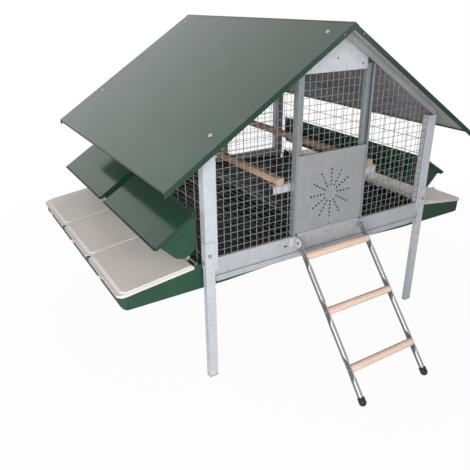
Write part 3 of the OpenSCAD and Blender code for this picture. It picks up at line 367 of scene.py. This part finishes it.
ROOF_PAINT = paint("roof_paint", (0.019, 0.050, 0.034), (0.026, 0.061, 0.043), rough=(0.20, 0.28),
                   specular=0.90, fold_shade_colour=(0.40, 0.66, 0.56))
LID_PAINT = paint("hopper_lid_paint", (0.013, 0.042, 0.028), (0.018, 0.052, 0.034), rough=(0.12, 0.20),
                  specular=0.60, fold_shade_colour=(0.55, 0.75, 0.70))
GREEN_PLASTIC = moulding("green_plastic", (0.011, 0.044, 0.026), (0.015, 0.054, 0.032), rough=(0.34, 0.46))
# Painted shade: near-black green for the hems under the hopper lids' edges, where the lip lies in shade
HEM_SHADE_GREEN = moulding("hem_painted_shade", (0.001, 0.005, 0.003), (0.002, 0.007, 0.005), rough=(0.50, 0.62))
BEIGE_PLASTIC = moulding("beige_plastic", (0.51, 0.47, 0.44), (0.57, 0.53, 0.50), rough=(0.36, 0.50))
DARK_PLASTIC = moulding("dark_plastic", (0.012, 0.010, 0.009), (0.020, 0.017, 0.015), rough=(0.40, 0.55))
RUNG_WOOD = timber("rung_wood", "x", (0.62, 0.43, 0.35), (0.71, 0.53, 0.44))
PERCH_WOOD = timber("perch_wood", "y", (0.40, 0.25, 0.16), (0.54, 0.36, 0.25))
BLACK_RUBBER = rubber("black_rubber", (0.012, 0.012, 0.014), (0.035, 0.035, 0.037))

# First letters of a node's name and its finish; the first that fits counts, and the last fits all
FINISHES = [
    ("roof_screws", SCREW_ZINC), ("roof", ROOF_PAINT), ("rafters", RAFTER_SHADE_STEEL), ("eave_beams", EAVE_SHADE_STEEL),
    ("rail", RAIL_STEEL), ("sill_plate", SILL_STEEL), ("door_panel", DOOR_STEEL), ("door_guide", GUIDE_SHADE_STEEL),
    ("feeder_lid", LID_PAINT), ("feeder", GREEN_PLASTIC), ("tray", GREEN_PLASTIC),
    ("lid_rods", PLATED), ("lid", BEIGE_PLASTIC), ("floor_ridge", SHEET_STEEL), ("floor", DARK_PLASTIC),
    ("perch_bars", SHEET_STEEL), ("perch", PERCH_WOOD), ("ladder_rungs", RUNG_WOOD),
    ("ladder_feet", BLACK_RUBBER), ("ladder_rail", TUBE_STEEL), ("ladder_bolts", PLATED),
    ("frame_bolts", PLATED), ("", SHEET_STEEL)]

# First letters of a node's name and the width of its rounded edges
SOFT_EDGES = [
    ("lid_rods", 0.5), ("lid", 1.4), ("tray", 1.2), ("feeder_lid", 0.5), ("feeder", 0.9),
    ("perch_bars", 0.4), ("perch", 1.2), ("door_panel", 0.6)]


def entry_for(table, name):
    """The value of the first entry whose letters a node's name starts with, or None."""
    for letters, value in table:
        if name.startswith(letters):
            return value
    return None


def dress(obj, finish):
    """Gives a whole node one finish."""
    slots = obj.data.materials
    for place in range(len(slots)):
        slots[place] = finish
    if not slots:
        slots.append(finish)


def soften(obj, width):
    """Rounds the sharp edges of a node so that they catch the light."""
    rounding = obj.modifiers.new("edges", "BEVEL")
    rounding.width = width * MM
    rounding.segments = 2
    rounding.limit_method = "ANGLE"
    rounding.angle_limit = SHARP


for node_name, node_object in nodes.items():
    dress(node_object, entry_for(FINISHES, node_name))
    edge_width = entry_for(SOFT_EDGES, node_name)
    if edge_width:
        soften(node_object, edge_width)


# Helpers for pieces

def new_object(name, data):
    """A new object in the scene."""
    obj = bpy.data.objects.new(name, data)
    bpy.context.scene.collection.objects.link(obj)
    return obj


def mesh_object(name, build, finish, body):
    """A mesh made by build(bmesh), with its finish, riding on a body."""
    shape = bmesh.new()
    build(shape)
    bmesh.ops.recalc_face_normals(shape, faces=shape.faces)
    mesh = bpy.data.meshes.new(name)
    shape.to_mesh(mesh)
    shape.free()
    mesh.shade_smooth()
    mesh.set_sharp_from_angle(angle=SHARP)
    mesh.materials.append(finish)
    obj = new_object(name, mesh)
    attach(obj, body)
    return obj


def circle(sides, start=0.0):
    """Points of a unit circle, with the first one turned by the share start of a side."""
    angles = [2 * math.pi * (k + start) / sides for k in range(sides)]
    return [(math.cos(angle), math.sin(angle)) for angle in angles]


def skin(shape, rings):
    """A closed skin over rings that have the same number of points."""
    for low, high in zip(rings, rings[1:]):
        for k in range(len(low)):
            after = (k + 1) % len(low)
            shape.faces.new((low[k], low[after], high[after], high[k]))
    shape.faces.new(rings[0][::-1])
    shape.faces.new(rings[-1])


def rod(shape, start, end, radius, sides):
    """A round rod between two points, with its radius in millimetres."""
    turn = (end - start).normalized().to_track_quat("Z", "Y").to_matrix()
    spokes = [turn @ Vector((c, s, 0)) * radius * MM for c, s in circle(sides, 0.5)]
    skin(shape, [[shape.verts.new(point + spoke) for spoke in spokes] for point in (start, end)])


# Round-wire nets

def net(name, wires, radius=END_WIRE_R):
    """Round wires between pairs of points, in place of a CAD net."""
    def build(shape):
        for start, end in wires:
            rod(shape, start, end, radius, WIRE_SIDES)
    obj = mesh_object(name + "_wires", build, WIRE_STEEL, "cage")
    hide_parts(name)


def grid(x0, x1, z0, columns, pitch_z, top, place):
    """Welded wires over x0..x1, upwards from z0 and under the line top(x).

    place(x, z, depth) puts a point in space.
    """
    pitch_x = (x1 - x0 - WIRE) / columns
    half = WIRE / 2
    wires = []
    for i in range(columns + 1):
        x = x0 + half + i * pitch_x
        wires.append((place(x, z0, WIRE_LIFT), place(x, top(x), WIRE_LIFT)))
    z = z0 + half
    fall = (top(x0) - top(x1)) / (x1 - x0)
    while z < max(top(x0), top(x1)) - SHORTEST_WIRE:
        end = x1 if fall <= 0 else min(x1, x0 + (top(x0) - z) / fall)
        if end > x0 + SHORTEST_WIRE:
            wires.append((place(x0, z, -WIRE_LIFT), place(end, z, -WIRE_LIFT)))
        z += pitch_z
    wires.append((place(x0, top(x0) - half, -WIRE_LIFT), place(x1, top(x1) - half, -WIRE_LIFT)))
    return wires


def gable_wires(side, y, inner):
    """Net between a corner post and a middle post, on one side of the end wall at y."""
    def place(x, z, depth):
        return at(side * x, y + depth, z)
    columns = round((NET_OUTER - inner) / NET_PITCH)
    return grid(inner, NET_OUTER, RAIL_TOP, columns, NET_PITCH, lambda x: rafter_low(x) - FIT, place)


def middle_wires(y, reach, z0, z1):
    """Net of even height in the middle of the end wall at y."""
    def place(x, z, depth):
        return at(x, y + depth, z)
    columns = round(2 * reach / NET_PITCH)
    rows = round((z1 - z0) / NET_PITCH)
    return grid(-reach, reach, z0, columns, (z1 - z0 - WIRE) / rows, lambda x: z1, place)


def side_wires(side):
    """Wide net of a side wall, up to the beam under the eave."""
    def place(y, z, depth):
        return at(side * (LAYER_X - NET_T / 2 + depth), y, z)
    half = HALF_D - 2 * SHEET - FIT
    top = roof_under(LAYER_X) - EAVE_BEAM_H
    pitch_z = (top - SIDE_NET_LOW - WIRE) / SIDE_CELLS_Z
    return grid(-half, half, SIDE_NET_LOW, SIDE_CELLS_Y, pitch_z, lambda y: top, place)


front_net, back_net = NET_T / 2 - LAYER_Y, LAYER_Y - NET_T / 2
door_net, door_net_low = SHEET + NET_T / 2 - GUIDE_FRONT, SILL_TOP + DOOR_H - NET_BEHIND_DOOR
back_sides = [wire for side in SIDES.values() for wire in gable_wires(side, back_net, BACK_POST_MID + FIT)]

for side_name, side in SIDES.items():
    net("net_front_" + side_name, gable_wires(side, front_net, GUIDE_OUTER + FIT))
net("net_over_door", middle_wires(door_net, GUIDE_INNER, door_net_low, GABLE_Z))
net("net_back_sides", back_sides)
net("net_back_middle", middle_wires(back_net, BACK_POST_MID - FIT, RAIL_TOP, GABLE_Z - FIT))
for side_name, side in SIDES.items():
    net("net_" + side_name, side_wires(side), SIDE_WIRE_R)


# Ladder tubes, pressed flat at the rungs and at the pivot

def on_ladder(x, y, z):
    """A point beside the ladder's rails: z up along them from the pivot, y out of their upper side."""
    lean = LADDER_ANGLE - math.pi / 2
    back = y * math.cos(lean) - z * math.sin(lean)
    up = y * math.sin(lean) + z * math.cos(lean)
    return at(x, PIVOT_Y + back, PIVOT_Z + up)


def flatness(z):
    """0 where the tube is round, 1 where it is pressed flat, with a smooth step between."""
    if z > RUNGS[-1]:
        return 1.0
    away = min(abs(z - rung) for rung in RUNGS) - FLAT_HALF
    step = min(max(1.0 - away / TAPER, 0.0), 1.0)
    return step * step * (3.0 - 2.0 * step)


def tube_ring(shape, side, z, width=1.0):
    """Points round a ladder tube at z, from a circle to a flat oblong, narrowed to the share width."""
    flat = flatness(z)
    half_x = TUBE_R + (FLAT_X - TUBE_R) * flat
    half_y = (TUBE_R + (FLAT_Y - TUBE_R) * flat) * width
    power = 1.0 / (1.0 + flat)
    ring = []
    for c, s in circle(TUBE_SIDES):
        x = half_x * math.copysign(abs(c) ** power, c)
        y = half_y * math.copysign(abs(s) ** power, s)
        ring.append(shape.verts.new(on_ladder(side * LADDER_HALF + x, y, z)))
    return ring


def tube_stations():
    """Places along a ladder tube, close together where it goes from round to flat."""
    stations = [TUBE_END - LADDER_L]
    for rung in RUNGS:
        marks = [rung - FLAT_HALF - TAPER + i * TAPER / TAPER_STEPS for i in range(TAPER_STEPS + 1)]
        stations += marks
        if rung != RUNGS[-1]:
            stations += [2 * rung - mark for mark in reversed(marks)]
    return stations


def ladder_tube(name, side):
    """A ladder tube with a round upper end, in place of a CAD one."""
    def build(shape):
        rings = [tube_ring(shape, side, z) for z in tube_stations()]
        for i in range(ROUND_STEPS + 1):
            rise = math.sin(i * math.pi / 2 / ROUND_STEPS) * ROUND_SHARE
            rings.append(tube_ring(shape, side, rise * FLAT_Y, math.sqrt(1.0 - rise * rise)))
        skin(shape, rings)

    obj = mesh_object(name + "_tube", build, TUBE_STEEL, "ladder")
    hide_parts(name)
    return obj


ladder_tubes = [ladder_tube("ladder_rail_" + side_name, side) for side_name, side in SIDES.items()]


# Rubber caps with a round end that stands on the ground, and a collar where the tube goes in

def foot_profile():
    """Radius and height over the foot of the ladder, from the round end up."""
    centre = FOOT_R / math.sin(LADDER_ANGLE)
    turns = [i * math.pi / 2 / ROUND_STEPS for i in range(1, ROUND_STEPS + 1)]
    round_end = [(FOOT_R * math.sin(turn), centre - FOOT_R * math.cos(turn)) for turn in turns]
    collar_low = FOOT_TOP - COLLAR_H
    return round_end + [
        (FOOT_R - WAIST_IN, collar_low), (FOOT_R - COLLAR_IN, collar_low + COLLAR_EDGE),
        (FOOT_R - COLLAR_IN, FOOT_TOP - COLLAR_ROUND), (FOOT_R - MOUTH_IN, FOOT_TOP),
        (TUBE_R + FOOT_GAP, FOOT_TOP)]


def foot_caps():
    """Both caps, in place of the CAD feet."""
    def ring(shape, side, radius, height):
        points = [(side * LADDER_HALF + radius * c, radius * s) for c, s in circle(TUBE_SIDES)]
        return [shape.verts.new(on_ladder(x, y, height - LADDER_L)) for x, y in points]

    def build(shape):
        for side in SIDES.values():
            skin(shape, [ring(shape, side, radius, height) for radius, height in foot_profile()])

    obj = mesh_object("ladder_foot_caps", build, BLACK_RUBBER, "ladder")
    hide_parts("ladder_feet")


foot_caps()


# A strip along the foot of each rail, in front of the trays, under the rail's rolled edge

def rail_strip(name, end):
    """A flat with clipped lower corners and the roll above it."""
    top = RAIL_BOTTOM - STRIP_GAP
    low = top - STRIP_H
    right = [(STRIP_HALF, top), (STRIP_HALF, low + STRIP_CLIP), (STRIP_HALF - STRIP_CLIP, low)]
    outline = right + [(-x, z) for x, z in reversed(right)]
    face = LAYER_Y - STRIP_IN

    def build(shape):
        depths = (end * face, end * (face - STRIP_T))
        skin(shape, [[shape.verts.new(at(x, y, z)) for x, z in outline] for y in depths])
        roll = [at(side * STRIP_HALF, end * LAYER_Y, RAIL_BOTTOM + ROLL_UP) for side in SIDES.values()]
        rod(shape, *roll, ROLL_R, TRIM_SIDES)

    mesh_object(name, build, RAIL_STEEL, "cage")


for end_name, end in ENDS.items():
    rail_strip("rail_strip_" + end_name, end)


# Screws in the roof's front and back folds, beside the ridge

def verge_screws():
    """Four screw heads, one on each side at each end."""
    x = FOLD_SCREW_DOWN * math.cos(SLOPE)
    z = roof_under(x) - FOLD_SCREW_IN / math.cos(SLOPE)

    def build(shape):
        for end in ENDS.values():
            for side in SIDES.values():
                root = at(side * x, end * (ROOF_HALF_D - ROOF_T / 2), z)
                head = at(side * x, end * (ROOF_HALF_D + FOLD_HEAD_H), z)
                rod(shape, root, head, FOLD_HEAD_R, TRIM_SIDES)

    mesh_object("verge_screws", build, PLATED, "cage")


verge_screws()


# A rolled hem along the outer edge of each hopper lid, near black as painted shade under the edge

def lid_hem(lid_name):
    """A rod under the lid's outermost edge, which is read from its mesh."""
    lid = nodes[lid_name]
    points = [lid.matrix_world @ vertex.co for vertex in lid.data.vertices]
    reach = max(abs(point.x) for point in points) - SAME_PLACE * MM
    edge = sorted((point for point in points if abs(point.x) > reach), key=lambda point: point.y)
    drop = Vector((0.0, 0.0, HEM_R * MM))

    def build(shape):
        rod(shape, edge[0] - drop, edge[-1] - drop, HEM_R, TRIM_SIDES)

    # Painted shade: the hem is coloured near black so that it reads as the shaded lip
    mesh_object(lid_name + "_hem_painted_shade", build, HEM_SHADE_GREEN, lid_name)


for side_name in SIDES:
    for end_name in ENDS:
        lid_hem("feeder_lid_" + side_name + "_" + end_name)


# Light, floor and camera, in metres in the row frame

GROUND_REACH, GROUND_DROP = 12.0, 0.001

# Pixels of the photograph: its width, the fitted focal length and the fitted centre
PHOTO_W, FOCAL = 470.0, 517.3
CENTRE_X, CENTRE_Y = 236.7, 237.3

# Sensor's width in millimetres, and the camera's fitted place and turn
SENSOR = 36.0
CAMERA_AT = at(-1216.0, -1886.0, 1270.0)
YAW, PITCH, ROLL = math.radians(30.9), math.radians(24.81), math.radians(-0.61)


def world_light(white, zenith, ambient):
    """White for the camera, reflections that darken towards the zenith, a plain soft grey for the rest."""
    world = bpy.data.worlds.new("studio")
    world.use_nodes = True
    tree = world.node_tree
    background = tree.nodes["Background"]
    path = tree.nodes.new("ShaderNodeLightPath")
    seen = tree.nodes.new("ShaderNodeMath")
    seen.operation = "MAXIMUM"
    tree.links.new(path.outputs["Is Camera Ray"], seen.inputs[0])
    tree.links.new(path.outputs["Is Transmission Ray"], seen.inputs[1])
    source = tree.nodes.new("ShaderNodeTexCoord")
    parts = tree.nodes.new("ShaderNodeSeparateXYZ")
    tree.links.new(source.outputs["Generated"], parts.inputs["Vector"])
    mirrored = span(tree, parts.outputs["Z"], white, zenith, from_low=0.42, from_high=0.85)
    soft = blend(tree, path.outputs["Is Glossy Ray"], (ambient,) * 3, mirrored)
    tree.links.new(blend(tree, seen.outputs[0], soft, (white,) * 3), background.inputs["Color"])
    bpy.context.scene.world = world


def ground_material():
    """Pale grey that shows nearly white to the camera, and quite white away from the object."""
    made, tree, shader = material("ground", 0.9, specular=0.1)
    grey = ramp(tree, noise(tree, scale=1.5), [(0.2, (0.47, 0.47, 0.47)), (0.8, (0.50, 0.50, 0.50))])
    tree.links.new(grey, shader.inputs["Base Color"])
    glow = add(tree, "ShaderNodeEmission", Strength=1.0)
    path = tree.nodes.new("ShaderNodeLightPath")
    distance = tree.nodes.new("ShaderNodeVectorMath")
    distance.operation = "LENGTH"
    tree.links.new(coordinates(tree), distance.inputs[0])
    whiteness = span(tree, distance.outputs["Value"], 0.96, 1.0, from_low=0.9, from_high=2.4)
    share = tree.nodes.new("ShaderNodeMath")
    share.operation = "MULTIPLY"
    tree.links.new(path.outputs["Is Camera Ray"], share.inputs[0])
    tree.links.new(whiteness, share.inputs[1])
    mix = tree.nodes.new("ShaderNodeMixShader")
    tree.links.new(share.outputs[0], mix.inputs["Fac"])
    tree.links.new(shader.outputs["BSDF"], mix.inputs[1])
    tree.links.new(glow.outputs["Emission"], mix.inputs[2])
    tree.links.new(mix.outputs["Shader"], tree.nodes["Material Output"].inputs["Surface"])
    return made


def studio_floor():
    """Flat ground just under the object's feet, which keeps its soft shadow."""
    mesh = bpy.data.meshes.new("ground")
    corners = [(x * GROUND_REACH, y * GROUND_REACH, 0) for x, y in ((-1, -1), (1, -1), (1, 1), (-1, 1))]
    mesh.from_pydata(corners, [], [(0, 1, 2, 3)])
    mesh.materials.append(ground_material())
    ground = new_object("ground", mesh)
    ground.location.z = -GROUND_DROP


def soft_lamp(name, place, target, size, power, mirrored_by=()):
    """A round lamp that lights everything without a highlight, or only the pieces that mirror it."""
    lamp = bpy.data.lights.new(name, "AREA")
    lamp.shape = "DISK"
    lamp.size = size
    lamp.energy = power
    obj = new_object(name, lamp)
    obj.visible_glossy = bool(mirrored_by)
    obj.location = place
    obj.rotation_euler = (Vector(target) - Vector(place)).to_track_quat("-Z", "Y").to_euler()
    if mirrored_by:
        lit = bpy.data.collections.new(name + "_lit")
        for piece in mirrored_by:
            lit.objects.link(piece)
        obj.light_linking.receiver_collection = lit


def photo_camera():
    """The camera that was fitted to the photograph."""
    level = math.cos(PITCH)
    ahead = Vector((math.sin(YAW) * level, math.cos(YAW) * level, -math.sin(PITCH)))
    flat_right = Vector((math.cos(YAW), -math.sin(YAW), 0.0))
    flat_up = flat_right.cross(ahead)
    right = flat_right * math.cos(ROLL) + flat_up * math.sin(ROLL)
    up = flat_up * math.cos(ROLL) - flat_right * math.sin(ROLL)
    data = bpy.data.cameras.new("camera")
    data.sensor_width = SENSOR
    data.lens = FOCAL / PHOTO_W * SENSOR
    data.shift_x = (PHOTO_W / 2 - CENTRE_X) / PHOTO_W
    data.shift_y = (CENTRE_Y - PHOTO_W / 2) / PHOTO_W
    camera = new_object("camera", data)
    turn = Matrix((right, up, -ahead)).transposed().to_4x4()
    camera.matrix_world = Matrix.Translation(CAMERA_AT) @ turn
    bpy.context.scene.camera = camera


world_light(white=1.0, zenith=0.4, ambient=0.32)
studio_floor()
soft_lamp("key", place=(-1.9, -2.3, 1.05), target=(-0.3, 0.0, 0.6), size=2.2, power=113.0)
soft_lamp("glint", place=(-1.6, -2.3, 1.35), target=(-0.3, 0.0, 0.6), size=1.8, power=26.0,
          mirrored_by=ladder_tubes)
soft_lamp("fill", place=(2.8, 2.4, 2.4), target=(0.0, 0.2, 0.6), size=2.2, power=40.0)
soft_lamp("rim", place=(-2.4, 1.7, 1.9), target=(-0.7, 0.3, 0.5), size=1.4, power=26.0)
photo_camera()
bpy.context.scene.view_settings.view_transform = "Standard"
